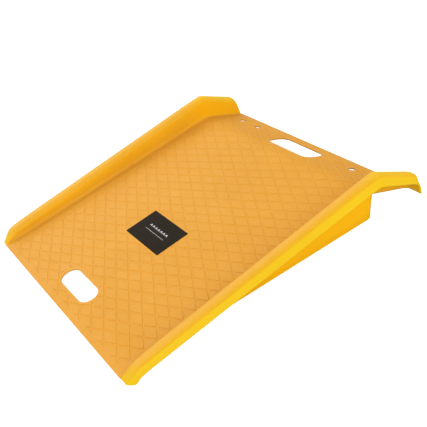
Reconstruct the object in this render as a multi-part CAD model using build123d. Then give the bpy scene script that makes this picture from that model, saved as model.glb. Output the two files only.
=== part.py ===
"""Kerb ramp for hand trucks: one moulded polyethylene shell with a printed label.

Millimetres, +Z up. Z = 0 is the road, +Y runs up the deck towards the kerb, and
X = 0 is the middle of the width. The walls are drawn with Y = 0 at the ground
edge, and the whole ramp is then moved so that its origin is the middle of its
footprint. The shell is made as its walls, each a solid of its own that meets its
neighbours face to face: deck, bend, lip, rails, flanges, toes, heels, skirts, rear
wall and ribs.
"""
from build123d import *
from math import atan2, cos, hypot, pi, sin, tan
import os

# --- driving dimensions -------------------------------------------------------
WIDTH = 686.0            # over the flanges
SHEET = 4.0              # wall thickness of the moulding
RIB = 3.0                # thickness of the ribs underneath
DECK_RUN = 608.5         # ground edge to the bend, level
DECK_RISE = 69.2         # top of the deck at the bend
NOSE_THICKNESS = 2.5     # deck thickness at the ground edge
NOSE_END_Y = 105.0       # back of the part of the deck that holds the hand hole
BEND_END_Y = 631.0       # back of the strip at the bend that the rear wall meets
LIP_RUN = 106.5          # bend to the kerb edge, level
LIP_END_RISE = 29.9      # top of the lip at its kerb edge

DECK_HALF = 306.0        # half width between the feet of the rails
CROWN_X = 323.0          # middle of the rounded rail top
CROWN_RADIUS = 11.5
RAIL_FRONT_Y = 36.0      # the toe meets the rail here
RAIL_BACK_Y = 700.0      # the heel meets the rail here
HEEL_END_Y = 718.0       # back face of the heel
CORNER_RADIUS = 22.0     # plan radius of the four outer corners
CROWN_RISE = {"front": 31.5, "bend": 122.6, "back": 83.4}
FLANGE_RISE = {"front": 15.0, "bend": 96.5, "back": 56.0}   # its lower edge

SKIRT_X = 296.3          # outer face of the skirt on the road
SKIRT_FRONT_Y = 40.0
SKIRT_DRAFT = 0.1        # outward lean of the skirt
REAR_WALL_Y = 614.5      # outer face of the rear wall on the road
REAR_DRAFT = 0.25        # backward lean of the rear wall

HAND_HOLE = (131.0, 44.0, 21.9)      # length, width, corner radius
HAND_HOLE_Y = 61.7
LIP_HOLE = (149.0, 54.0, 20.0)
LIP_HOLE_Y = 658.9
BOLT_HOLE_RADIUS = 7.0
BOLT_HOLE_X = (176.0, 243.0)
BOLT_HOLE_Y = 677.0

LONG_RIB_PITCH = 98.0
LONG_RIBS = 5
LONG_RIB_FRONT_Y = 110.0
CROSS_RIB_PITCH = 90.0
CROSS_RIBS = 5
CROSS_RIB_FRONT_Y = 160.0

LABEL = (142.0, 82.0, 0.4)           # width, length, thickness
LABEL_Y = 262.0

# --- lines of the side view ---------------------------------------------------
HALF = WIDTH / 2
SKIRT_INNER_X = SKIRT_X - SHEET
DECK_SLOPE = (DECK_RISE - NOSE_THICKNESS) / DECK_RUN
LIP_SLOPE = (LIP_END_RISE - DECK_RISE) / LIP_RUN
LIP_END_Y = DECK_RUN + LIP_RUN
DECK_DROP = SHEET * hypot(1, DECK_SLOPE)     # sheet thickness, measured upright
LIP_DROP = SHEET * hypot(1, LIP_SLOPE)
FLAT_END_Y = (DECK_DROP - NOSE_THICKNESS) / DECK_SLOPE   # back of the flat on the road
# The bend is mitred: everything turns on the plane that halves its angle.
MITRE = -tan((atan2(DECK_SLOPE, 1) + atan2(LIP_SLOPE, 1)) / 2)
UNDER_BEND_Y = DECK_RUN + (DECK_DROP - LIP_DROP) / (DECK_SLOPE - LIP_SLOPE)
UNDER_BEND_Z = DECK_RISE - DECK_DROP + DECK_SLOPE * (UNDER_BEND_Y - DECK_RUN)
ABOVE_ALL = 2 * CROWN_RISE["bend"]


def surface_z(y):
    """Height of the walking surface."""
    if y <= DECK_RUN:
        return NOSE_THICKNESS + DECK_SLOPE * y
    return DECK_RISE + LIP_SLOPE * (y - DECK_RUN)


def under_z(y):
    """Height of the underside of the sheet."""
    if y <= UNDER_BEND_Y:
        return max(UNDER_BEND_Z + DECK_SLOPE * (y - UNDER_BEND_Y), 0.0)
    return UNDER_BEND_Z + LIP_SLOPE * (y - UNDER_BEND_Y)


def under_lip(road_y):
    """Where a wall that leans back from road_y reaches the underside of the lip."""
    height = (UNDER_BEND_Z + LIP_SLOPE * (road_y - UNDER_BEND_Y)) / (1 - REAR_DRAFT * LIP_SLOPE)
    return road_y + REAR_DRAFT * height, height


# --- helpers ------------------------------------------------------------------
def side_plate(outline, x_low, x_high):
    """Extrude a (y, z) outline across the width, from x_low to x_high."""
    face = Plane.YZ * make_face(Polyline(*outline, close=True))
    return Pos(x_low, 0, 0) * extrude(face, x_high - x_low)


def front_plate(outline, y_low, y_high):
    """Extrude an (x, z) outline along the ramp, from y_low to y_high."""
    face = Plane.XZ * make_face(Polyline(*outline, close=True))
    return Pos(0, y_high, 0) * extrude(face, y_high - y_low)


def ruled(sections):
    """Solid through closed outlines of (x, y, z) points, straight between them."""
    wires = [Wire.make_polygon([Vector(*p) for p in s], close=True) for s in sections]
    return Part() + Solid.make_loft(wires, ruled=True)


def upright_slot(size, y):
    """Cutter for a hand hole centred at y."""
    length, width, radius = size
    return Pos(0, y, 0) * extrude(RectangleRounded(length, width, radius), ABOVE_ALL)


# --- deck and lip -------------------------------------------------------------
def deck_nose():
    """Front of the deck, flat on the road at the ground edge, with its hand hole."""
    outline = [(0, 0), (0, NOSE_THICKNESS), (NOSE_END_Y, surface_z(NOSE_END_Y)),
               (NOSE_END_Y, under_z(NOSE_END_Y)), (FLAT_END_Y, 0)]
    return side_plate(outline, -DECK_HALF, DECK_HALF) - upright_slot(HAND_HOLE, HAND_HOLE_Y)


def deck_plate():
    """Sloping deck from the nose to the bend."""
    outline = [(NOSE_END_Y, surface_z(NOSE_END_Y)), (DECK_RUN, DECK_RISE),
               (UNDER_BEND_Y, UNDER_BEND_Z), (NOSE_END_Y, under_z(NOSE_END_Y))]
    return side_plate(outline, -DECK_HALF, DECK_HALF)


def deck_bend():
    """Strip of the sheet from the bend to just past the top of the rear wall."""
    outline = [(DECK_RUN, DECK_RISE), (BEND_END_Y, surface_z(BEND_END_Y)),
               (BEND_END_Y, under_z(BEND_END_Y)), (UNDER_BEND_Y, UNDER_BEND_Z)]
    return side_plate(outline, -DECK_HALF, DECK_HALF)


def kerb_lip():
    """Lip that lies on the kerb, with its hand hole and four bolt holes."""
    outline = [(BEND_END_Y, surface_z(BEND_END_Y)), (LIP_END_Y, LIP_END_RISE),
               (LIP_END_Y, under_z(LIP_END_Y)), (BEND_END_Y, under_z(BEND_END_Y))]
    lip = side_plate(outline, -DECK_HALF, DECK_HALF) - upright_slot(LIP_HOLE, LIP_HOLE_Y)
    for x in BOLT_HOLE_X:
        for side in (-x, x):
            lip -= Pos(side, BOLT_HOLE_Y, 0) * extrude(Circle(BOLT_HOLE_RADIUS), ABOVE_ALL)
    return lip


# --- rails --------------------------------------------------------------------
def profile(crown_z, edge_z, foot_z, inset=0.0):
    """Skin of the right-hand rail, moved inwards by inset: (x, z) points.

    It runs from the foot up the inner wall, over the crown and down to the
    lower edge of the flange. A crown lower than its radius is an ellipse.
    """
    rise = min(CROWN_RADIUS, max(crown_z - foot_z, 0.3))
    crown = [(CROWN_X - (CROWN_RADIUS - inset) * cos(step * pi / 4),
              crown_z - rise + (rise - inset) * sin(step * pi / 4)) for step in range(5)]
    return [(DECK_HALF + inset, foot_z)] + crown + [(HALF - inset, edge_z)]


def rail_stations():
    """Skins of the rail at its front end, the bend and its back end."""
    for place, foot_y in (("front", RAIL_FRONT_Y), ("bend", DECK_RUN), ("back", RAIL_BACK_Y)):
        top, edge = CROWN_RISE[place], FLANGE_RISE[place]
        foot = surface_z(foot_y)
        under = UNDER_BEND_Z if place == "bend" else under_z(foot_y)
        lean = MITRE if place == "bend" else 0.0
        outer = profile(top, edge, foot)
        inner = profile(top, edge, foot, SHEET)
        inner[0] = (inner[0][0], under)
        yield [[(x, foot_y + lean * (z - foot), z) for x, z in points]
               for points in (outer, inner, [(DECK_HALF, under)])]


def rail():
    """Inner wall and rounded top."""
    return ruled([outer[:-1] + inner[-2::-1] + foot for outer, inner, foot in rail_stations()])


def flange():
    """Outer band that hangs from the rail and flares out to its lower edge."""
    return ruled([outer[-2:] + inner[:-3:-1] for outer, inner, foot in rail_stations()])


def cap(block_stations, hollow_stations):
    """End of a rail: a block of skins less its hollow, with rounded plan corners.

    A station is (y, crown height, flange edge height).
    """
    block = ruled([[(x, y, z) for x, z in [(DECK_HALF, under_z(min(y, LIP_END_Y)))]
                    + profile(top, edge, surface_z(min(y, LIP_END_Y)))]
                   for y, top, edge in block_stations])
    hollow = ruled([[(x, y, z) for x, z in [(DECK_HALF + SHEET, -1)]
                     + profile(top, edge, surface_z(min(y, LIP_END_Y)), SHEET) + [(HALF - SHEET, -1)]]
                    for y, top, edge in hollow_stations])
    plan = extrude(RectangleRounded(WIDTH, HEEL_END_Y, CORNER_RADIUS), ABOVE_ALL)
    return (block - hollow) & Pos(0, HEEL_END_Y / 2, 0) * plan


def toe():
    """Nose that brings the rail down to the road at the ground edge."""
    front = (0.0, NOSE_THICKNESS + 0.3, 0.0)
    middle = (16.0, 19.0, 3.0)
    back = (RAIL_FRONT_Y, CROWN_RISE["front"], FLANGE_RISE["front"])
    return cap([front, middle, back], [middle, back])


def heel():
    """Rounded end wall that closes the rail at the kerb edge."""
    front = (RAIL_BACK_Y, CROWN_RISE["back"], 46.0)
    middle = (709.0, 72.0, 31.0)
    back = (HEEL_END_Y, 48.0, 27.0)
    return cap([front, middle, back], [front, (HEEL_END_Y - SHEET, 64.0, 29.0)])


# --- underneath ---------------------------------------------------------------
def leaning_slab(low_x, high_x, low_lean):
    """Upright slab from low_x to high_x on the road; its high side leans outwards.

    low_lean is 1 where the low side leans with it, and -1 where it leans away.
    """
    lean = SKIRT_DRAFT * ABOVE_ALL
    outline = [(low_x, 0), (high_x, 0), (high_x + lean, ABOVE_ALL), (low_x + low_lean * lean, ABOVE_ALL)]
    return front_plate(outline, 0, HEEL_END_Y)


def under_deck(front_y, road_y):
    """Outline of the space under the deck back to a leaning wall face at road_y."""
    return [(front_y, 0), (road_y, 0), under_lip(road_y), (UNDER_BEND_Y, UNDER_BEND_Z),
            (front_y, under_z(front_y))]


def skirt():
    """Wedge-shaped wall that carries the edge of the deck on the road."""
    wedge = side_plate(under_deck(SKIRT_FRONT_Y, REAR_WALL_Y), 0, HALF)
    return wedge & leaning_slab(SKIRT_INNER_X, SKIRT_X, 1)


def rear_wall():
    """Wall that stands against the face of the kerb, from skirt to skirt."""
    outline = [(REAR_WALL_Y - SHEET, 0), (REAR_WALL_Y, 0), under_lip(REAR_WALL_Y),
               under_lip(REAR_WALL_Y - SHEET)]
    return side_plate(outline, -HALF, HALF) & leaning_slab(-SKIRT_INNER_X, SKIRT_INNER_X, -1)


def hollow_under_deck():
    """Space that the ribs fill: inside the skirts and the rear wall."""
    outline = under_deck(SKIRT_FRONT_Y, REAR_WALL_Y - SHEET)
    return side_plate(outline, -HALF, HALF) & leaning_slab(-SKIRT_INNER_X, SKIRT_INNER_X, -1)


def rib_positions(count, pitch, first):
    """Evenly spaced places, from the first."""
    return [first + pitch * step for step in range(count)]


def long_ribs(hollow):
    """Ribs that run up the ramp, from the left to the right."""
    plan = Rectangle(RIB, HEEL_END_Y, align=(Align.CENTER, Align.MIN))
    box = extrude(plan, ABOVE_ALL)
    first = -LONG_RIB_PITCH * (LONG_RIBS - 1) / 2
    return [hollow & Pos(x, LONG_RIB_FRONT_Y, 0) * box
            for x in rib_positions(LONG_RIBS, LONG_RIB_PITCH, first)]


def cross_ribs(hollow, along):
    """Ribs across the ramp, each in the lengths between the long ribs."""
    box = extrude(Rectangle(WIDTH, RIB), ABOVE_ALL)
    ribs = []
    for y in rib_positions(CROSS_RIBS, CROSS_RIB_PITCH, CROSS_RIB_FRONT_Y):
        rib = hollow & Pos(0, y, 0) * box
        for long_rib in along:
            rib -= long_rib
        ribs.append(rib)
    return ribs


# --- label --------------------------------------------------------------------
def label():
    """Printed film, stuck flat on the deck."""
    width, length, thickness = LABEL
    low, high = LABEL_Y - length / 2, LABEL_Y + length / 2
    lift = thickness * hypot(1, DECK_SLOPE)
    outline = [(low, surface_z(low)), (high, surface_z(high)),
               (high, surface_z(high) + lift), (low, surface_z(low) + lift)]
    return side_plate(outline, -width / 2, width / 2)


# --- all nodes ----------------------------------------------------------------
nodes = {
    "deck_nose": deck_nose(),
    "deck_plate": deck_plate(),
    "deck_bend": deck_bend(),
    "kerb_lip": kerb_lip(),
    "rear_wall": rear_wall(),
    "label": label(),
}
for name, make in (("rail", rail), ("flange", flange), ("toe", toe), ("heel", heel), ("skirt", skirt)):
    right = make()
    nodes["right_" + name] = right
    nodes["left_" + name] = mirror(right, about=Plane.YZ)

space = hollow_under_deck()
along = long_ribs(space)
for number, rib in enumerate(along, 1):
    nodes[f"long_rib_{number}"] = rib
for number, rib in enumerate(cross_ribs(space, along), 1):
    nodes[f"cross_rib_{number}"] = rib

to_origin = Pos(0, -HEEL_END_Y / 2, 0)
os.makedirs("parts", exist_ok=True)
for name, shape in nodes.items():
    export_step(to_origin * shape, f"parts/{name}.step")
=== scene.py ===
"""Looks of the kerb ramp: a moulded deck with a diamond tread, its two rails, the walls
underneath and a printed label.

Metres, in the frame of the CAD model. Every piece is drawn with y = 0 at the ground
edge, x = 0 in the middle and z = 0 on the road, and is moved to the frame's origin
when it is made.
"""

import math

import bmesh
import bpy
import numpy as np
from mathutils import Matrix, Vector
from mathutils.geometry import delaunay_2d_cdt


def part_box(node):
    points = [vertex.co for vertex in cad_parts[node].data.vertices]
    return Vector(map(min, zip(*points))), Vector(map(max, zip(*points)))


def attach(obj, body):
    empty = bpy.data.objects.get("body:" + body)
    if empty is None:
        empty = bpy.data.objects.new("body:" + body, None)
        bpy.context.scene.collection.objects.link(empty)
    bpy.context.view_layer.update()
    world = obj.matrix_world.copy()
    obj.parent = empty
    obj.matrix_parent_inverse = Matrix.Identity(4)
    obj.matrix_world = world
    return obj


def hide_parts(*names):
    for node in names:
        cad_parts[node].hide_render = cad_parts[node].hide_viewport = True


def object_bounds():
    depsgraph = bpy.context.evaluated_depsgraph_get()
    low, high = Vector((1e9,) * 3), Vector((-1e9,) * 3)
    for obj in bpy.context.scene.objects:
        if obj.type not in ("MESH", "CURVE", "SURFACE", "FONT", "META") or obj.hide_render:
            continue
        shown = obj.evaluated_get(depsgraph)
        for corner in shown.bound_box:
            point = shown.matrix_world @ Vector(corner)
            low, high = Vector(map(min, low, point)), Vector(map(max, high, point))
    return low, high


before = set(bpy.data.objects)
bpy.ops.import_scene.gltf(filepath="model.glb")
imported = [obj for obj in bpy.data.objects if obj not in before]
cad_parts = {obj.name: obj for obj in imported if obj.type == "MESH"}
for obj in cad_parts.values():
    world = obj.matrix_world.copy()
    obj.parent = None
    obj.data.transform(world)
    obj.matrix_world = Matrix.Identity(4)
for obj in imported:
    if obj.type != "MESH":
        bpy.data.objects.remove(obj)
cad_low, cad_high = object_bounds()
MM = 0.001

# --- sizes from the frame -----------------------------------------------------
GROUND_EDGE = cad_low.y
HALF = cad_high.x                                    # outer edge of the rails
DECK_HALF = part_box("deck_plate")[1].x                # foot of the rails
BEND_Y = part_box("deck_plate")[1].y - GROUND_EDGE     # where deck and lip meet
DECK_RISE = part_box("deck_plate")[1].z
LIP_END_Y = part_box("kerb_lip")[1].y - GROUND_EDGE
LIP_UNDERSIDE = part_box("kerb_lip")[0].z
HEEL_END_Y = cad_high.y - GROUND_EDGE
CROWN_BEND = cad_high.z
FLANGE_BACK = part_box("right_flange")[1].y - GROUND_EDGE
SKIRT_FRONT_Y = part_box("right_skirt")[0].y - GROUND_EDGE
LABEL_LOW, LABEL_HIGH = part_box("label")

# --- sheet --------------------------------------------------------------------
SHEET = 4.0 * MM
CORNER_FILL = 1.8 * MM      # more thickness inside the corner at the foot of each rail
NOSE_THICKNESS = 2.5 * MM
RIM = 1.4 * MM              # rounding of every open edge of the sheet
RIM_STEPS = 3               # in each quarter turn of that rounding
SEAM = 286.0 * MM           # the deck piece ends here, on flat sheet
DECK_SLOPE = (DECK_RISE - NOSE_THICKNESS) / BEND_Y
LIP_END_RISE = 29.9 * MM
LIP_SLOPE = (LIP_END_RISE - DECK_RISE) / (LIP_END_Y - BEND_Y)
MITRE = -math.tan((math.atan(DECK_SLOPE) + math.atan(LIP_SLOPE)) / 2)
ARC_WEIGHT = 0.75           # how close the curve of a rounded corner comes to the corner
BEND_WEIGHT = 0.97
LEG_SHARE = 0.49            # the most of a run that one of its corners takes

# --- rail ---------------------------------------------------------------------
WALL_TOP_X = 307.5 * MM     # inner wall, where it would meet the crown
CROWN_OUTER_X = 334.5 * MM
TILT_BEND = 2.5 * MM        # how much lower the inner side of the crown is, at the bend
TILT_BACK = 8.0 * MM
BAND_X = 336.5 * MM         # top of the flared band
BAND_EDGE_X = HALF - 0.3 * RIM
BAND_HEIGHT = 11.0 * MM
BAND_SHARE = 0.45           # the most of the outer side that the band takes
CROWN_FRONT, CROWN_BACK = 31.0 * MM, 83.0 * MM       # heights at the toe and the heel
BAND_FRONT, BAND_BEND, BAND_BACK = 15.0 * MM, 96.5 * MM, 56.0 * MM
RAIL_FRONT_Y = 36.0 * MM
FOOT_FILLET = 7.5 * MM
CROWN_ROUND = 11.5 * MM
BAND_ROUND = 4.0 * MM
SECTION_REACHES = (FOOT_FILLET, CROWN_ROUND, CROWN_ROUND, BAND_ROUND)
SECTION_STEPS = (5, 7, 7, 4)    # of each arc, so that a section has 29 points
DECK_BEND_REACH = 20.0 * MM     # how far each line starts to turn before the bend
CROWN_BEND_REACH = 5.0 * MM
BEND_STEPS = 10

# --- toe ----------------------------------------------------------------------
TOE_PLAN = (25.0 * MM, 34.0 * MM)       # half axes of the toe's corner in plan
TOE_CROWN_START, TOE_CROWN_SLOPE, TOE_CROWN_ROUND = 2 * MM, 1.12, 13 * MM
TOE_BAND_Y, TOE_BAND_SLOPE, TOE_BAND_ROUND = 14 * MM, 1.2, 5 * MM
CROWN_CLEAR = 0.4 * MM      # the crown's least height over the deck
EDGE_CLEAR = 0.3 * MM       # the band's least drop below the crown
# Sections in the toe, in millimetres past the rim.
TOE_SECTIONS = (0, 2.5, 5, 8, 11, 14, 17, 20, 24, 28, 32, 36, 41, 47, 55, 65, 80, 100)
MAIN_START_Y, MAIN_END_Y, MAIN_SECTIONS = 130 * MM, 570 * MM, 12

# --- heel: pairs are inside and outside ---------------------------------------
HEEL_START = 0.965                      # share of the lip's length where the heel starts
HEEL_STEPS = 6
HEEL_DRAFT = (3.4 * MM, 0.8 * MM)       # how much the heel leans back
HEEL_SHORT = (2.5 * MM, 1.0 * MM)       # its lower edge before the lip's end, and the box's
HEEL_LIFT = (5 * MM, -0.5 * MM)         # its lower edge over the lip's lowest point
HEEL_TUCK, HEEL_TURN_TUCK = 2.5 * MM, 0.6   # how far its outer side pulls in, and the turn's share
HEEL_TURN, HEEL_TURN_SHARE = 11 * MM, 0.6   # height of the turn, and its most of the heel's height
HEEL_ROUND = 0.5 * MM                   # from the turn's corner to its end
DECK_CORNER_Y, DECK_TURN_Y = 706 * MM, 709 * MM     # the same places on the flat lip
LIP_SHARES = (0.33, 0.67, 1)            # sections between the bend and the heel

# --- tread --------------------------------------------------------------------
GROOVE_ANGLE = math.radians(28)     # either side of straight across the ramp
GROOVE_PITCH = 26.6 * MM
GROOVE_WIDTH = 4.6 * MM
GROOVE_FLOOR = 2.0 * MM     # width of its flat floor
GROOVE_DEPTH = 0.9 * MM
GROOVE_END = 1.3 * MM       # length of the slope where a groove ends
GROOVES_EACH_WAY = 40       # more than the tread holds
TREAD_FRONT_Y, TREAD_BACK_Y = 14.5 * MM, 693.0 * MM
TREAD_HALF = 281.0 * MM
TREAD_CORNER = 8.0 * MM
BEND_ZONE = 25 * MM         # the deck's faces are cut at each rail section this near the bend

# Rounded rectangles: middle y, half length across the ramp, half width along it, corner.
TREAD = ((TREAD_FRONT_Y + TREAD_BACK_Y) / 2, TREAD_HALF, (TREAD_BACK_Y - TREAD_FRONT_Y) / 2, TREAD_CORNER)
HAND_HOLE = (61.7 * MM, 65.5 * MM, 22.0 * MM, 21.9 * MM)
LIP_HOLE = (658.9 * MM, 74.5 * MM, 27.0 * MM, 20.0 * MM)
LABEL_Y = (LABEL_LOW.y + LABEL_HIGH.y) / 2 - GROUND_EDGE
LABEL = (LABEL_Y, LABEL_HIGH.x, (LABEL_HIGH.y - LABEL_LOW.y) / 2, 2 * MM)
BOLT_STEPS = 5
BOLT_HOLES = [-243.0 * MM, -176.0 * MM, 176.0 * MM, 243.0 * MM]
BOLT_HOLE_Y, BOLT_HOLE_R = 677.0 * MM, 7.0 * MM
HOLE_BORDER, BOLT_BORDER, LABEL_BORDER = 7.0 * MM, 5.0 * MM, 4.0 * MM      # without grooves
HOLE_DRAFT, BOLT_DRAFT = 1.2 * MM, 3.2 * MM     # how much wider the holes are underneath

# --- walls underneath ---------------------------------------------------------
SKIRT_X = 296.3 * MM
SKIRT_DRAFT, REAR_DRAFT = 0.1, 0.25
REAR_Y = 614.5 * MM
WALL_CORNER = 9.0 * MM
WALL_CORNER_STEPS = 8
SKIRT_SECTIONS, REAR_SECTIONS = 14, 8       # the second to the middle of the ramp
WALL_OVERLAP = 0.8 * MM     # how far the walls reach into the sheet
WALL_LEAST = 1.5 * MM       # least height, where the skirts run out
WALL_ROWS = (0, 0.33, 0.67, 1)      # as shares of the height
WALL_TOP_PASSES = 12        # to find where a leaning wall meets the sheet
FOOT_PULL = 0.6 * RIM       # chamfers the walls' lower edges

# --- label --------------------------------------------------------------------
FILM_ROUGH = (0.50, 0.60)
FILM = 0.5 * MM
FILM_SINK = 0.2 * MM
INK_SINK, INK = 0.02 * MM, 0.06 * MM
ARROWS, ARROW_PITCH, ARROW_SIZE, ARROW_STROKE = 7, 11.0 * MM, 7.0 * MM, 3.2 * MM
ARROWS_UP, LINE_DOWN = 7 * MM, 6 * MM       # from the label's middle
LINE = (38 * MM, 0.35 * MM, 0.3 * MM)       # half length, half width, corner

# --- colours ------------------------------------------------------------------
DECK_YELLOW = (0.735, 0.34, 0.034)
# Painted shade: the rail's inner wall is drawn darker than its crown and band, darkest at its foot beside
# the deck.
FOOT_SHADE_YELLOW = (0.70, 0.335, 0.013)
WALL_SHADE_YELLOW = (0.76, 0.392, 0.010)
# Painted highlight: a paler yellow on the inner side of the crown.
CROWN_HIGHLIGHT_YELLOW = (0.80, 0.42, 0.045)
# Painted shade: the outer side of the crown, darker than the band below it.
CROWN_OUTER_SHADE_YELLOW = (0.80, 0.43, 0.012)
# Painted light: the flared band is drawn lighter and yellower than the rest of the rail, and the toe's
# nose takes it too.
BAND_LIT_YELLOW = (0.83, 0.53, 0.010)
# Painted light: the rail's inner wall and crown past the bend are drawn lighter and yellower than before
# it.
LIP_WALL_LIT_YELLOW = (0.81, 0.40, 0.003)
LIP_CROWN_LIT_YELLOW = (0.85, 0.51, 0.022)
# Painted light: the skirts, rear wall and ribs are drawn lighter than the deck, for light from the side
# and below.
SKIRT_LIT_YELLOW = (0.945, 0.49, 0.005)
LABEL_BLACKS = ((0.012, 0.0072, 0.002), (0.016, 0.0105, 0.004))
LABEL_GREYS = ((0.66, 0.63, 0.66), (0.58, 0.55, 0.58))
MOTTLE = (0.96, 0.94, 0.88)     # the darkest mottling, as a share of each colour
NOISE_LOW, NOISE_HIGH = 0.3, 0.7    # most noise lies between these

# The points of a rail section where each colour of painted light and shade stands, from the seam.
RAIL_PAINTED_COLOURS = {1: DECK_YELLOW, 6: FOOT_SHADE_YELLOW, 7: WALL_SHADE_YELLOW, 14: CROWN_HIGHLIGHT_YELLOW,
                15: CROWN_HIGHLIGHT_YELLOW, 22: CROWN_OUTER_SHADE_YELLOW, 24: BAND_LIT_YELLOW}
# The points where something starts, is full, is still full, and ends.
FILL_POINTS = (0, 3, 6, 10)
WALL_POINTS = (1, 5, 8, 13)
CROWN_POINTS = (8, 13, 20, 23)
UP_AND_DOWN = (0, 1, 1, 0)
WALL_BLEND = 80 * MM        # the wall turns to the lip's painted lighter yellow over this length before the bend
CROWN_BLEND = 12 * MM       # the crown does so over this length, half of it before the bend
TOE_BLEND, TOE_FULL = 26 * MM, 0.3      # the toe's painted band light fades over this, after this share of it
TOE_POINTS, TOE_SHARES = (5, 8), (0, 0.7)

# --- studio -------------------------------------------------------------------
CAMERA_AZIMUTH, CAMERA_ELEVATION, CAMERA_ROLL = 64.462, 32.232, -15.170     # degrees
CAMERA_PLACE = (1.2945, -0.2112, 0.9042)    # from the middle of the ground edge
CAMERA_SENSOR, CAMERA_LENS = 36, 62.72      # millimetres
WHITE = (1, 1, 1, 1)
FLOOR_HALF = 8.0
FLOOR_GREY = (0.6, 0.6, 0.6, 1)
FLOOR_GLOW = 0.85
WORLD_LIGHT = 0.60
KEY_TOWARDS, KEY_ANGLE, KEY_STRENGTH = (1.0, 0.0, -0.85), 45, 1.75
FILL_TOWARDS, FILL_ANGLE, FILL_STRENGTH = (-1.0, 0.3, -0.35), 60, 2.0


def surface(y):
    """Top of the sheet, before the bend is rounded."""
    if y <= BEND_Y:
        return NOSE_THICKNESS + DECK_SLOPE * y
    return DECK_RISE + LIP_SLOPE * (y - BEND_Y)


def lerp(a, b, t):
    return a + (b - a) * t


def clamp(value, low=0.0, high=1.0):
    return max(low, min(high, value))


def unit(vectors):
    """Each vector at length 1."""
    return vectors / np.maximum(np.linalg.norm(vectors, axis=-1, keepdims=True), 1e-12)


def soft_min(a, b, softness):
    """The lower of two heights, with a rounded change from one to the other."""
    return (a + b - math.hypot(a - b, softness)) / 2


def conic(start, corner, end, count, weight=ARC_WEIGHT):
    """count + 1 points of an arc from start to end that rounds off the corner."""
    points = []
    for t in np.linspace(0, 1, count + 1):
        a, b, c = (1 - t) ** 2, 2 * weight * t * (1 - t), t * t
        points.append((a * start + b * corner + c * end) / (a + b + c))
    return points


def rounded_line(points, reaches, steps):
    """A polyline with each inner corner rounded, starting reach before it."""
    points = [np.array(p, float) for p in points]
    line = [points[0]]
    for before, corner, after, reach, count in zip(points, points[1:], points[2:], reaches, steps):
        legs = []
        for end in (before, after):
            share = reach / max(np.linalg.norm(end - corner), 1e-9)
            legs.append(lerp(corner, end, min(share, LEG_SHARE)))
        line += conic(legs[0], corner, legs[1], count)
    return np.array(line + [points[-1]])


# --- rail sections ------------------------------------------------------------
def rail_profile(foot, crown, edge, tilt, spread=1.0):
    """(x, z) skin of the right rail from the seam to the lower edge of its band."""
    def out(x):
        """x, nearer to the rail's foot in the toe."""
        return lerp(DECK_HALF, x, spread)

    rise = max(crown - edge, 0)
    band_top = edge + min(BAND_HEIGHT, BAND_SHARE * rise)
    corners = [(SEAM, foot), (DECK_HALF, foot)]
    corners += [(out(WALL_TOP_X), crown - tilt), (out(CROWN_OUTER_X), crown)]
    corners += [(out(BAND_X), band_top), (out(BAND_EDGE_X), edge)]
    return rounded_line(corners, SECTION_REACHES, SECTION_STEPS)


def crown_height(y):
    """Top of the rail at y: a straight run that the toe brings down to the road."""
    rail = lerp(CROWN_FRONT, CROWN_BEND, (y - RAIL_FRONT_Y) / (BEND_Y - RAIL_FRONT_Y))
    toe = TOE_CROWN_START + TOE_CROWN_SLOPE * y
    return max(soft_min(toe, rail, TOE_CROWN_ROUND), surface(y) + CROWN_CLEAR)


def band_edge(y):
    """Lower edge of the band at y."""
    rail = lerp(BAND_FRONT, BAND_BEND, (y - RAIL_FRONT_Y) / (BEND_Y - RAIL_FRONT_Y))
    toe = TOE_BAND_SLOPE * (y - TOE_BAND_Y)
    return max(soft_min(toe, rail, TOE_BAND_ROUND), 0) + RIM


def toe_spread(y):
    """How far out the rail reaches near the ground edge, 1 past the toe."""
    across, along = TOE_PLAN
    dip = clamp(1 - y / along)
    reach = HALF - across + across * math.sqrt(1 - dip * dip)
    return (reach - DECK_HALF) / (HALF - DECK_HALF)


def front_ring(y):
    """Upright section of the rail at y, before the bend."""
    edge = min(band_edge(y), crown_height(y) - EDGE_CLEAR)
    profile = rail_profile(surface(y), crown_height(y), edge, TILT_BEND * y / BEND_Y, toe_spread(y))
    return np.array([(x, y, z) for x, z in profile])


def bend_ring():
    """Section of the rail on the mitre plane of the bend."""
    profile = rail_profile(DECK_RISE, CROWN_BEND, BAND_BEND + RIM, TILT_BEND)
    return np.array([(x, BEND_Y + MITRE * (z - DECK_RISE), z) for x, z in profile])


def heel_rings(before, start):
    """The rail's end: each line turns down over the heel to the level of the lip."""
    slope = (start[:, 2] - before[:, 2]) / (start[:, 1] - before[:, 1])
    lip_end = LIP_END_Y - RIM
    lines = []
    for (x, y, z), fall in zip(start, slope):
        wall = clamp((z - surface(y)) / FOOT_FILLET)
        across = clamp((x - DECK_HALF) / (HALF - DECK_HALF))
        outer = clamp((x - CROWN_OUTER_X) / (HALF - CROWN_OUTER_X))
        inward = x - HEEL_TUCK * outer
        heel_end = lerp(LIP_END_Y - HEEL_SHORT[0], HEEL_END_Y - HEEL_SHORT[1], across)
        last_y = lerp(lip_end, heel_end, wall)
        turn_y = lerp(DECK_TURN_Y, last_y - lerp(*HEEL_DRAFT, across), wall)
        corner_y = lerp(DECK_CORNER_Y, turn_y - HEEL_ROUND, wall)
        corner_z = z + fall * (corner_y - y)
        last_z = lerp(surface(lip_end), LIP_UNDERSIDE + lerp(*HEEL_LIFT, across), wall)
        drop = min(HEEL_TURN, HEEL_TURN_SHARE * (corner_z - last_z))
        turn_z = lerp(surface(turn_y), corner_z - drop, wall)
        corner = np.array((x, corner_y, corner_z))
        turn = np.array((lerp(x, inward, HEEL_TURN_TUCK), turn_y, turn_z))
        last = np.array((inward, last_y, last_z))
        path = conic(np.array((x, y, z)), corner, turn, HEEL_STEPS)[1:]
        path += [lerp(turn, last, t) for t in (1 / 3, 2 / 3, 1)]
        lines.append(path)
    return [np.array(ring) for ring in zip(*lines)]


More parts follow.
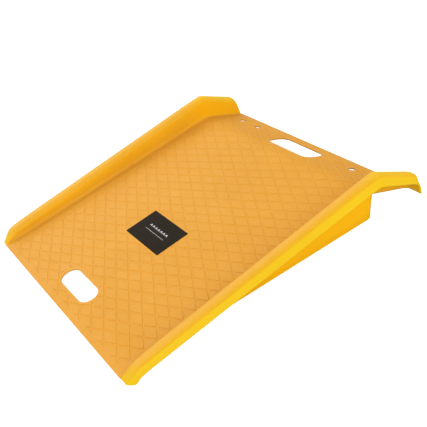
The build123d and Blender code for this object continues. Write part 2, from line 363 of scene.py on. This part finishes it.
def rail_rings():
    """Sections of the right rail's skin, ground edge to heel: [ring, point, xyz]."""
    ys = [RIM + step * MM for step in TOE_SECTIONS]
    ys += list(np.linspace(MAIN_START_Y, MAIN_END_Y, MAIN_SECTIONS))
    rings = [front_ring(y) for y in ys]
    corner = bend_ring()
    profile = rail_profile(surface(FLANGE_BACK), CROWN_BACK, BAND_BACK + RIM, TILT_BACK)
    back = np.array([(x, FLANGE_BACK, z) for x, z in profile])
    heel_start = lerp(corner, back, HEEL_START)
    height = np.clip((corner[:, 2:] - DECK_RISE) / (CROWN_BEND - DECK_RISE), 0, 1)
    reach = lerp(DECK_BEND_REACH, CROWN_BEND_REACH, height)
    into = corner + unit(rings[-1] - corner) * reach
    out_of = corner + unit(back - corner) * reach
    rings += conic(into, corner, out_of, BEND_STEPS, BEND_WEIGHT)
    rings += [lerp(out_of, heel_start, t) for t in LIP_SHARES]
    return np.array(rings + heel_rings(out_of, heel_start))


def skin_normals(rings):
    """Outward normal at each point of a skin."""
    along = np.gradient(rings, axis=0)
    across = np.gradient(rings, axis=1)
    normals = np.cross(across, along)
    normals[:, 0, 0] = 0    # at the seam the deck goes on level
    return unit(normals)


def inner_skin(rings):
    """The other face of the sheet, thicker in the corner at the foot, kept above the road."""
    fill = np.interp(np.arange(rings.shape[1]), FILL_POINTS, UP_AND_DOWN)
    thickness = SHEET + CORNER_FILL * fill
    inner = rings - skin_normals(rings) * thickness[:, None]
    inner[..., 2] = np.maximum(inner[..., 2], 0)
    return inner


def rim_points(outer, inner, away):
    """Points round the open edge of the sheet, from its outer to its inner face."""
    through = inner - outer
    reach = min(RIM, 0.5 * np.linalg.norm(through))
    down = unit(through)
    arc = [math.pi / 2 * step / RIM_STEPS for step in range(RIM_STEPS + 1)]
    first = [outer + reach * (math.sin(a) * away + (1 - math.cos(a)) * down) for a in arc]
    second = [inner + reach * (math.sin(a) * away - (1 - math.cos(a)) * down) for a in arc[::-1]]
    return np.array(first + second)


# --- meshes -------------------------------------------------------------------
def make_object(name, mesh):
    """New object in the scene."""
    piece = bpy.data.objects.new(name, mesh)
    bpy.context.scene.collection.objects.link(piece)
    return piece


def finish_piece(name, build, material, replaced, sharp=28):
    """Object of a bmesh drawn from the ground edge, joined up and facing outwards.

    Edges that turn by more than sharp degrees stay sharp.
    """
    bmesh.ops.remove_doubles(build, verts=build.verts, dist=1e-6)
    bmesh.ops.dissolve_degenerate(build, edges=build.edges, dist=1e-7)
    bmesh.ops.recalc_face_normals(build, faces=build.faces)
    for vert in build.verts:
        vert.co.y += GROUND_EDGE
        vert.co.z = max(vert.co.z, 0)
    for face in build.faces:
        face.smooth = True
    mesh = bpy.data.meshes.new(name)
    build.to_mesh(mesh)
    build.free()
    mesh.set_sharp_from_angle(angle=math.radians(sharp))
    mesh.materials.append(material)
    piece = make_object(name, mesh)
    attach(piece, "root")
    if replaced:
        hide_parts(*replaced)


def add_grid(build, points, painted_tints=None):
    """Quads over a [row, column, xyz] grid, with a colour of painted light and shade per point in the
    colour layer.
    """
    verts = [[build.verts.new(p) for p in row] for row in points]
    if painted_tints is not None:
        layer = build.verts.layers.float_color["painted_light"]
        for row, colours in zip(verts, painted_tints):
            for vert, colour in zip(row, colours):
                vert[layer] = (*colour, 1)
    for low, high in zip(verts, verts[1:]):
        for a, b, c, d in zip(low, low[1:], high[1:], high):
            build.faces.new((a, b, c, d))
    return verts


def rail_painted_tints(rings):
    """Base colour at each point of a rail, with painted light and shade in it: [ring, point, rgb]."""
    columns = np.arange(rings.shape[1])
    channels = zip(*RAIL_PAINTED_COLOURS.values())
    across = [np.interp(columns, list(RAIL_PAINTED_COLOURS), channel) for channel in channels]
    painted_tints = np.tile(np.stack(across, axis=-1), (len(rings), 1, 1))
    # Painted light past the bend: the wall and crown turn lighter and yellower.
    past_bend = rings[..., 1] - BEND_Y
    turned = np.clip(past_bend / WALL_BLEND + 1, 0, 1)
    on_wall = np.interp(columns, WALL_POINTS, UP_AND_DOWN) * turned
    painted_tints = lerp(painted_tints, np.array(LIP_WALL_LIT_YELLOW), on_wall[..., None])
    turned = np.clip(past_bend / CROWN_BLEND + 0.5, 0, 1)
    on_crown = np.interp(columns, CROWN_POINTS, UP_AND_DOWN) * turned
    painted_tints = lerp(painted_tints, np.array(LIP_CROWN_LIT_YELLOW), on_crown[..., None])
    # Painted light on the toe's nose: it takes the band's lit yellow.
    fade = np.clip(1 + TOE_FULL - rings[..., 1] / TOE_BLEND, 0, 1)
    at_toe = np.interp(columns, TOE_POINTS, TOE_SHARES) * fade
    return lerp(painted_tints, np.array(BAND_LIT_YELLOW), at_toe[..., None])


def rail_piece(side, material, rings, inner):
    """One rail with its band, toe and heel, as a closed sheet.

    Returns the points round each place on its open edge, as they are on the right rail.
    """
    build = bmesh.new()
    build.verts.layers.float_color.new("painted_light")
    last = len(rings) - 1
    end = rings.shape[1] - 1
    painted_tints = rail_painted_tints(rings)
    add_grid(build, rings, painted_tints)
    add_grid(build, inner, painted_tints)
    loop = [(0, j) for j in range(end)] + [(i, end) for i in range(last + 1)]
    loop += [(last, j) for j in range(end - 1, -1, -1)]
    rims = []
    rim_painted_tints = []
    for i, j in loop:
        rim_painted_tints.append([painted_tints[i, j]] * (2 * RIM_STEPS + 2))
        away = np.zeros(3)
        if i == 0:
            away += unit(rings[0, j] - rings[1, j])
        if i == last:
            away += unit(rings[last, j] - rings[last - 1, j])
        if j == end:
            away += unit(rings[i, end] - rings[i, end - 1])
        rims.append(rim_points(rings[i, j], inner[i, j], unit(away)))
    rim_verts = add_grid(build, rims, rim_painted_tints)
    add_grid(build, [rings[:, 0], inner[:, 0]], [painted_tints[:, 0]] * 2)
    build.faces.new(rim_verts[0])
    build.faces.new(rim_verts[-1])
    if side == "left":
        for vert in build.verts:
            vert.co.x = -vert.co.x
    nodes = [f"{side}_{part}" for part in ("rail", "flange", "toe", "heel")]
    finish_piece(side + "_rail_shell", build, material, nodes)
    return rims


# --- deck ---------------------------------------------------------------------
def box_distance(x, y, middle, half_length, half_width, corner):
    """Signed distance to a rounded rectangle centred at (0, middle)."""
    dx = abs(x) - half_length + corner
    dy = abs(y - middle) - half_width + corner
    return math.hypot(max(dx, 0), max(dy, 0)) + min(max(dx, dy), 0) - corner


def box_loop(middle, half_length, half_width, corner, grow=0.0, steps=8, centre_x=0.0):
    """Rounded rectangle as a loop of (x, y) points, grown by grow."""
    half_length += grow
    half_width += grow
    corner = max(corner + grow, 0.1 * MM)
    loop = []
    for turn, (sx, sy) in enumerate(((1, 1), (-1, 1), (-1, -1), (1, -1))):
        arc_x = centre_x + sx * (half_length - corner)
        arc_y = middle + sy * (half_width - corner)
        for step in range(steps + 1):
            a = math.pi / 2 * (turn + step / steps)
            loop.append((arc_x + corner * math.cos(a), arc_y + corner * math.sin(a)))
    return loop


def tread_share(x, y):
    """1 where the grooves have their full depth, 0 on the plain borders."""
    outside = box_distance(x, y, *TREAD)
    for shape, border in ((HAND_HOLE, HOLE_BORDER), (LIP_HOLE, HOLE_BORDER), (LABEL, LABEL_BORDER)):
        outside = max(outside, border - box_distance(x, y, *shape))
    for centre in BOLT_HOLES:
        outside = max(outside, BOLT_HOLE_R + BOLT_BORDER - math.hypot(x - centre, y - BOLT_HOLE_Y))
    return clamp(-outside / GROOVE_END)


def groove_share(x, y):
    """Depth of the two families of grooves, from 0 on the pads to 1 on their floors."""
    deepest = 0.0
    for side in (-1, 1):
        across = side * x * math.sin(GROOVE_ANGLE) + (y - BEND_Y) * math.cos(GROOVE_ANGLE)
        distance = abs((across + GROOVE_PITCH / 2) % GROOVE_PITCH - GROOVE_PITCH / 2)
        depth = (GROOVE_WIDTH / 2 - distance) / (GROOVE_WIDTH - GROOVE_FLOOR) * 2
        deepest = max(deepest, clamp(depth))
    return deepest


def groove_lines(borders):
    """Ends of the lines along the edges and floors of all grooves, outside the plain borders."""
    lines = []
    far = 2 * BEND_Y
    offsets = (-GROOVE_WIDTH / 2, -GROOVE_FLOOR / 2, GROOVE_FLOOR / 2, GROOVE_WIDTH / 2)
    for side in (-1, 1):
        across = Vector((side * math.sin(GROOVE_ANGLE), math.cos(GROOVE_ANGLE)))
        along = Vector((across.y, -across.x))
        for number in range(-GROOVES_EACH_WAY, GROOVES_EACH_WAY + 1):
            for offset in offsets:
                middle = Vector((0, BEND_Y)) + across * (number * GROOVE_PITCH + offset)
                line = clip(middle - along * far, middle + along * far)
                if line:
                    lines.append(line)
    for border in borders:
        lines = [part for line in lines for part in parts_outside(*line, border)]
    return lines


def parts_outside(start, end, loop):
    """The parts of a line outside a convex loop that runs anticlockwise."""
    low, high = 0.0, 1.0
    for a, b in zip(loop, loop[1:] + loop[:1]):
        edge = Vector(b) - Vector(a)
        first, second = edge.cross(start - Vector(a)), edge.cross(end - Vector(a))
        if first <= 0 and second <= 0:
            if edge.length > 0:
                return [(start, end)]
        elif first < 0:
            low = max(low, first / (first - second))
        elif second < 0:
            high = min(high, first / (first - second))
    if low >= high:
        return [(start, end)]
    return [(start, start.lerp(end, low)), (start.lerp(end, high), end)]


def clip(start, end):
    """The part of a line inside the rectangle that holds the tread."""
    low, high = 0.0, 1.0
    limits = ((-TREAD_HALF, TREAD_HALF), (TREAD_FRONT_Y, TREAD_BACK_Y))
    for axis, edges in enumerate(limits):
        run = end[axis] - start[axis]
        a, b = sorted((edge - start[axis]) / run for edge in edges)
        low, high = max(low, a), min(high, b)
    if high - low < 1e-4:
        return None
    return start.lerp(end, low), start.lerp(end, high)


def flat_faces(outline, loops, lines):
    """Points and faces of the plane inside an outline, cut along the loops and the lines."""
    points, edges = [], []
    for loop in [outline] + loops:
        first = len(points)
        points += [Vector(p) for p in loop]
        edges += [(first + n, first + (n + 1) % len(loop)) for n in range(len(loop))]
    for line in lines:
        edges.append((len(points), len(points) + 1))
        points += line
    found, _, faces, *_ = delaunay_2d_cdt(points, edges, [], 4, 1e-7)
    return found, faces


def hole_loops(grow, bolt_grow):
    """Outline of each hole, grown: the two hand holes first, then the bolt holes."""
    loops = [box_loop(*hole, grow=grow) for hole in (HAND_HOLE, LIP_HOLE)]
    bolt = (BOLT_HOLE_Y, BOLT_HOLE_R, BOLT_HOLE_R, BOLT_HOLE_R)
    for centre in BOLT_HOLES:
        loops.append(box_loop(*bolt, grow=bolt_grow, steps=BOLT_STEPS, centre_x=centre))
    return loops


def inside(loop, x, y):
    """Whether a point is inside a convex loop that runs anticlockwise."""
    edges = zip(loop, loop[1:] + loop[:1])
    return all((bx - ax) * (y - ay) >= (by - ay) * (x - ax) for (ax, ay), (bx, by) in edges)


def deck_piece(material, path, under_path, rims):
    """Deck and lip as one sheet, with the tread on top and the holes through it.

    Its front and back rims carry on the rail's first and last.
    """
    build = bmesh.new()
    stations = [p for p in range(len(path)) if BEND_Y - BEND_ZONE < path[p, 1] < BEND_Y + BEND_ZONE]
    holes = hole_loops(RIM, RIM)
    wide_holes = hole_loops(RIM + HOLE_DRAFT, RIM + BOLT_DRAFT)
    ends = [box_loop(*TREAD, grow=-grow) for grow in (0, GROOVE_END)]
    borders = []
    for grow in (0, GROOVE_END):
        around = hole_loops(HOLE_BORDER + grow, BOLT_BORDER + grow)
        borders += around[:2]
        borders.append(box_loop(*LABEL, grow=LABEL_BORDER + grow, steps=3))
        borders += around[2:]

    def sheet(line, loops, lines, depth):
        """One face of the sheet, open inside the first loops. Returns the openings' points."""
        openings = loops[:len(holes)]
        front, back = line[0, 1], line[-1, 1]
        outline = [(-SEAM, front), (SEAM, front), (SEAM, back), (-SEAM, back)]
        across = [(Vector((-SEAM, line[s, 1])), Vector((SEAM, line[s, 1]))) for s in stations]
        found, faces = flat_faces(outline, loops, lines + across)
        verts = []
        for p in found:
            z = float(np.interp(p.y, line[:, 1], line[:, 2]))
            verts.append(build.verts.new((p.x, p.y, z - depth(p.x, p.y))))
        for face in faces:
            middle = sum((found[n] for n in face), Vector((0, 0))) / len(face)
            if not any(inside(loop, middle.x, middle.y) for loop in openings):
                build.faces.new([verts[n] for n in face])
        heights = line[:, 1], line[:, 2]
        return [[(x, y, float(np.interp(y, *heights))) for x, y in loop] for loop in openings]

    lines = groove_lines(borders[:len(borders) // 2])
    top = sheet(path, holes + ends + borders, lines,
                lambda x, y: GROOVE_DEPTH * tread_share(x, y) * groove_share(x, y))
    bottom = sheet(under_path, wide_holes, [], lambda x, y: 0.0)
    for upper, lower, narrow in zip(top, bottom, hole_loops(0, 0)):
        rows = []
        for outer, under, (x, y) in zip(np.array(upper), np.array(lower), narrow):
            away = unit(np.array((x, y, outer[2])) - outer)
            rows.append(rim_points(outer, under, away))
        add_grid(build, rows + rows[:1])
    for rim in (rims[0], rims[-1]):
        mirrored = [(-x, y, z) for x, y, z in rim]
        add_grid(build, [mirrored, rim])
    for side in (-1, 1):
        rows = []
        for line in (path, under_path):
            marks = [0] + stations + [len(line) - 1]
            rows.append([(side * SEAM, line[m, 1], line[m, 2]) for m in marks])
        add_grid(build, rows)
        for rim in (rims[0], rims[-1]):
            build.faces.new([build.verts.new((side * SEAM, y, z)) for _, y, z in rim])
    nodes = ("deck_nose", "deck_plate", "deck_bend", "kerb_lip")
    finish_piece("deck_and_lip", build, material, nodes, sharp=20)


# --- walls underneath ---------------------------------------------------------
def wall_stations():
    """(road point, outward direction, draft) along the wall, right skirt to left skirt."""
    stations = []
    corner_x, corner_y = SKIRT_X - WALL_CORNER, REAR_Y - WALL_CORNER
    for y in np.linspace(SKIRT_FRONT_Y, corner_y, SKIRT_SECTIONS)[:-1]:
        stations.append(((SKIRT_X, y), (1, 0), SKIRT_DRAFT))
    for step in range(WALL_CORNER_STEPS + 1):
        turned = step / WALL_CORNER_STEPS
        nx, ny = math.cos(math.pi / 2 * turned), math.sin(math.pi / 2 * turned)
        point = (corner_x + WALL_CORNER * nx, corner_y + WALL_CORNER * ny)
        stations.append((point, (nx, ny), lerp(SKIRT_DRAFT, REAR_DRAFT, turned)))
    for x in np.linspace(corner_x, 0, REAR_SECTIONS)[1:]:
        stations.append(((x, REAR_Y), (0, 1), REAR_DRAFT))
    mirrored = [((-x, y), (-nx, ny), draft) for (x, y), (nx, ny), draft in stations[-2::-1]]
    return stations + mirrored


def wall_piece(material, under_path):
    """Skirts and rear wall: one leaning wall with rounded corners, up to the sheet."""
    build = bmesh.new()
    rows = []
    for (x, y), (nx, ny), draft in wall_stations():
        row = []
        for inset in (0, SHEET):
            road = np.array((x - nx * inset, y - ny * inset))
            top = 0.0
            for _ in range(WALL_TOP_PASSES):
                top_y = road[1] + ny * draft * top
                sheet_z = float(np.interp(top_y, under_path[:, 1], under_path[:, 2]))
                top = sheet_z + WALL_OVERLAP
            heights = [0.0] + [max(top, WALL_LEAST) * share + RIM * (1 - share) for share in WALL_ROWS]
            pulls = [FOOT_PULL] + [0] * len(WALL_ROWS)
            sign = 1 if inset == 0 else -1
            column = []
            for z, pull in zip(heights, pulls):
                lean = draft * z - sign * pull
                column.append((road[0] + nx * lean, road[1] + ny * lean, z))
            row += column if inset == 0 else column[::-1]
        rows.append(row + row[:1])
    add_grid(build, rows)
    for row in (rows[0], rows[-1]):
        build.faces.new([build.verts.new(p) for p in row[:-1]])
    nodes = ("left_skirt", "right_skirt", "rear_wall")
    finish_piece("skirt_and_rear_wall", build, material, nodes, sharp=35)


# --- label --------------------------------------------------------------------
def plate(build, loop, low, high):
    """Flat plate on the deck: a plan loop between two heights above the surface."""
    rows = []
    for lift in (low, high):
        rows.append([(x, y, surface(y) + lift) for x, y in loop])
    add_grid(build, [row + row[:1] for row in rows])
    for row in rows:
        build.faces.new([build.verts.new(p) for p in row])


def label_piece(material):
    """The label's film, which sinks a little into the deck."""
    build = bmesh.new()
    plate(build, box_loop(*LABEL, steps=4), -FILM_SINK, FILM)
    finish_piece("label_film", build, material, ("label",))


def print_piece(material):
    """Plain arrows that point up the ramp, over a thin line."""
    build = bmesh.new()
    y = LABEL_Y + ARROWS_UP
    half = ARROW_SIZE / 2
    tail = y - half
    for number in range(ARROWS):
        x = (number - (ARROWS - 1) / 2) * ARROW_PITCH
        arrow = [(x - half, tail), (x, y), (x + half, tail)]
        arrow += [(px, py + ARROW_STROKE) for px, py in arrow[::-1]]
        plate(build, arrow, FILM - INK_SINK, FILM + INK)
    line = box_loop(LABEL_Y - LINE_DOWN, *LINE, steps=3)
    plate(build, line, FILM - INK_SINK, FILM + INK)
    finish_piece("label_print", build, material, ())


# --- materials ----------------------------------------------------------------
def new_material(name):
    """A material, its node tree and its shader."""
    material = bpy.data.materials.new(name)
    material.use_nodes = True
    tree = material.node_tree
    return material, tree, tree.nodes["Principled BSDF"]


def noise(tree, scale, detail):
    """Noise over the object's own coordinates."""
    place = tree.nodes.new("ShaderNodeTexCoord")
    texture = tree.nodes.new("ShaderNodeTexNoise")
    texture.inputs["Scale"].default_value = scale
    texture.inputs["Detail"].default_value = detail
    tree.links.new(place.outputs["Object"], texture.inputs["Vector"])
    return texture.outputs["Fac"]


def ranged(tree, value, low, high):
    """Noise stretched to run from low to high."""
    node = tree.nodes.new("ShaderNodeMapRange")
    node.inputs["From Min"].default_value = NOISE_LOW
    node.inputs["From Max"].default_value = NOISE_HIGH
    node.inputs["To Min"].default_value = low
    node.inputs["To Max"].default_value = high
    tree.links.new(value, node.inputs["Value"])
    return node.outputs["Result"]


def mixed(tree, share, first, second, blend="MIX"):
    """Colour between two, or the first multiplied by the second, by share."""
    node = tree.nodes.new("ShaderNodeMix")
    node.data_type = "RGBA"
    node.blend_type = blend
    tree.links.new(share, node.inputs["Factor"])
    for socket, colour in (("A", first), ("B", second)):
        target = next(s for s in node.inputs if s.name == socket and s.type == "RGBA")
        if isinstance(colour, tuple):
            target.default_value = (*colour, 1)
        else:
            tree.links.new(colour, target)
    return next(s for s in node.outputs if s.type == "RGBA")


def bumped(tree, shader, heights):
    """Bumps in a chain, from (height, strength, distance)."""
    normal = None
    for height, strength, distance in heights:
        node = tree.nodes.new("ShaderNodeBump")
        node.inputs["Strength"].default_value = strength
        node.inputs["Distance"].default_value = distance
        tree.links.new(height, node.inputs["Height"])
        if normal is not None:
            tree.links.new(normal, node.inputs["Normal"])
        normal = node.outputs["Normal"]
    tree.links.new(normal, shader.inputs["Normal"])


def plastic(name, colour, rough, grain, gloss):
    """Moulded polyethylene: faint mottling, uneven gloss and a fine moulded grain.

    Where colour is None, the mesh's colour attribute gives it, which holds painted light and shade.
    """
    material, tree, shader = new_material(name)
    if colour is None:
        painted_light = tree.nodes.new("ShaderNodeAttribute")
        painted_light.attribute_name = "painted_light"
        colour = painted_light.outputs["Color"]
    cloud = ranged(tree, noise(tree, scale=9, detail=3), 0.0, 1.0)
    tree.links.new(mixed(tree, cloud, colour, MOTTLE, "MULTIPLY"), shader.inputs["Base Color"])
    sheen = ranged(tree, noise(tree, scale=40, detail=3), *rough)
    tree.links.new(sheen, shader.inputs["Roughness"])
    fine = (noise(tree, scale=1400, detail=2), grain, 0.15 * MM)
    waves = (noise(tree, scale=60, detail=1), 0.04, 0.4 * MM)
    bumped(tree, shader, [fine, waves])
    shader.inputs["Specular IOR Level"].default_value = gloss
    return material


def film(name, first, second, gloss):
    """Printed film: two near colours in faint clouds, with a fine grain."""
    material, tree, shader = new_material(name)
    cloud = ranged(tree, noise(tree, scale=120, detail=3), 0.0, 1.0)
    tree.links.new(mixed(tree, cloud, first, second), shader.inputs["Base Color"])
    sheen = ranged(tree, noise(tree, scale=300, detail=2), *FILM_ROUGH)
    tree.links.new(sheen, shader.inputs["Roughness"])
    bumped(tree, shader, [(noise(tree, scale=900, detail=2), 0.08, 0.1 * MM)])
    shader.inputs["Specular IOR Level"].default_value = gloss
    return material


deck_plastic = plastic("deck_plastic", DECK_YELLOW, rough=(0.44, 0.56), grain=0.2, gloss=0.09)
rail_lit_and_shaded_plastic = plastic("rail_lit_and_shaded_plastic", None, rough=(0.44, 0.56), grain=0.2, gloss=0.09)
skirt_lit_plastic = plastic("skirt_lit_plastic", SKIRT_LIT_YELLOW, rough=(0.42, 0.52), grain=0.12, gloss=0.05)
label_black = film("label_black", *LABEL_BLACKS, gloss=0.04)
label_grey = film("label_grey", *LABEL_GREYS, gloss=0.2)

# --- the ramp -----------------------------------------------------------------
outer_skin = rail_rings()
under_skin = inner_skin(outer_skin)
rail_rims = rail_piece("right", rail_lit_and_shaded_plastic, outer_skin, under_skin)
rail_piece("left", rail_lit_and_shaded_plastic, outer_skin, under_skin)
deck_path, deck_under = outer_skin[:, 0], under_skin[:, 0]
deck_piece(deck_plastic, deck_path, deck_under, rail_rims)
wall_piece(skirt_lit_plastic, deck_under)
label_piece(label_black)
print_piece(label_grey)
for name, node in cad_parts.items():
    if "_rib_" in name:
        node.data.materials.clear()
        node.data.materials.append(skirt_lit_plastic)


# --- studio -------------------------------------------------------------------
def camera():
    """Camera at the photograph's viewing angle, in front of the ramp on its right."""
    azimuth, elevation = math.radians(CAMERA_AZIMUTH), math.radians(CAMERA_ELEVATION)
    roll = math.radians(CAMERA_ROLL)
    flat = math.cos(elevation)
    forward = Vector((-math.sin(azimuth) * flat, math.cos(azimuth) * flat, -math.sin(elevation)))
    level = Vector((math.cos(azimuth), math.sin(azimuth), 0))
    upward = level.cross(forward)
    right = level * math.cos(roll) + upward * math.sin(roll)
    up = right.cross(forward)
    data = bpy.data.cameras.new("camera")
    data.sensor_width = CAMERA_SENSOR
    data.lens = CAMERA_LENS
    eye = bpy.data.objects.new("camera", data)
    place = Matrix((right, up, -forward)).transposed().to_4x4()
    x, y, z = CAMERA_PLACE
    place.translation = Vector((x, GROUND_EDGE + y, z))
    eye.matrix_world = place
    bpy.context.scene.collection.objects.link(eye)
    bpy.context.scene.camera = eye


def floor():
    """Plain pale floor. It glows for the camera's rays only, so that shadows on it stay pale."""
    mesh = bpy.data.meshes.new("floor")
    corners = [(sx * FLOOR_HALF, sy * FLOOR_HALF, 0) for sx, sy in ((-1, -1), (1, -1), (1, 1), (-1, 1))]
    mesh.from_pydata(corners, [], [(0, 1, 2, 3)])
    material, tree, shader = new_material("floor_white")
    shader.inputs["Base Color"].default_value = FLOOR_GREY
    shader.inputs["Roughness"].default_value = 0.9
    shader.inputs["Specular IOR Level"].default_value = 0.1
    shader.inputs["Emission Color"].default_value = WHITE
    rays = tree.nodes.new("ShaderNodeLightPath")
    glow = tree.nodes.new("ShaderNodeMath")
    glow.operation = "MULTIPLY"
    glow.inputs[1].default_value = FLOOR_GLOW
    tree.links.new(rays.outputs["Is Camera Ray"], glow.inputs[0])
    tree.links.new(glow.outputs["Value"], shader.inputs["Emission Strength"])
    mesh.materials.append(material)
    make_object("floor", mesh)


def sun(name, towards, angle, strength):
    """Soft light from far away that shines along towards and looks angle degrees wide."""
    data = bpy.data.lights.new(name, "SUN")
    data.angle = math.radians(angle)
    data.energy = strength
    light = bpy.data.objects.new(name, data)
    light.rotation_euler = Vector(towards).to_track_quat("-Z", "Y").to_euler()
    bpy.context.scene.collection.objects.link(light)


def studio():
    """Even light from all round, a key sun 40 degrees up on the left, and a lower fill on the right.

    The camera sees the world as white, and the world lights the ramp less than that.
    """
    world = bpy.data.worlds.new("studio")
    world.use_nodes = True
    tree = world.node_tree
    lighting = tree.nodes["Background"]
    lighting.inputs["Color"].default_value = WHITE
    lighting.inputs["Strength"].default_value = WORLD_LIGHT
    backdrop = tree.nodes.new("ShaderNodeBackground")
    backdrop.inputs["Color"].default_value = WHITE
    rays = tree.nodes.new("ShaderNodeLightPath")
    mix = tree.nodes.new("ShaderNodeMixShader")
    tree.links.new(rays.outputs["Is Camera Ray"], mix.inputs["Fac"])
    tree.links.new(lighting.outputs["Background"], mix.inputs[1])
    tree.links.new(backdrop.outputs["Background"], mix.inputs[2])
    tree.links.new(mix.outputs["Shader"], tree.nodes["World Output"].inputs["Surface"])
    bpy.context.scene.world = world
    bpy.context.scene.view_settings.view_transform = "Standard"
    sun("key", KEY_TOWARDS, KEY_ANGLE, KEY_STRENGTH)
    sun("fill", FILL_TOWARDS, FILL_ANGLE, FILL_STRENGTH)


camera()
floor()
studio()
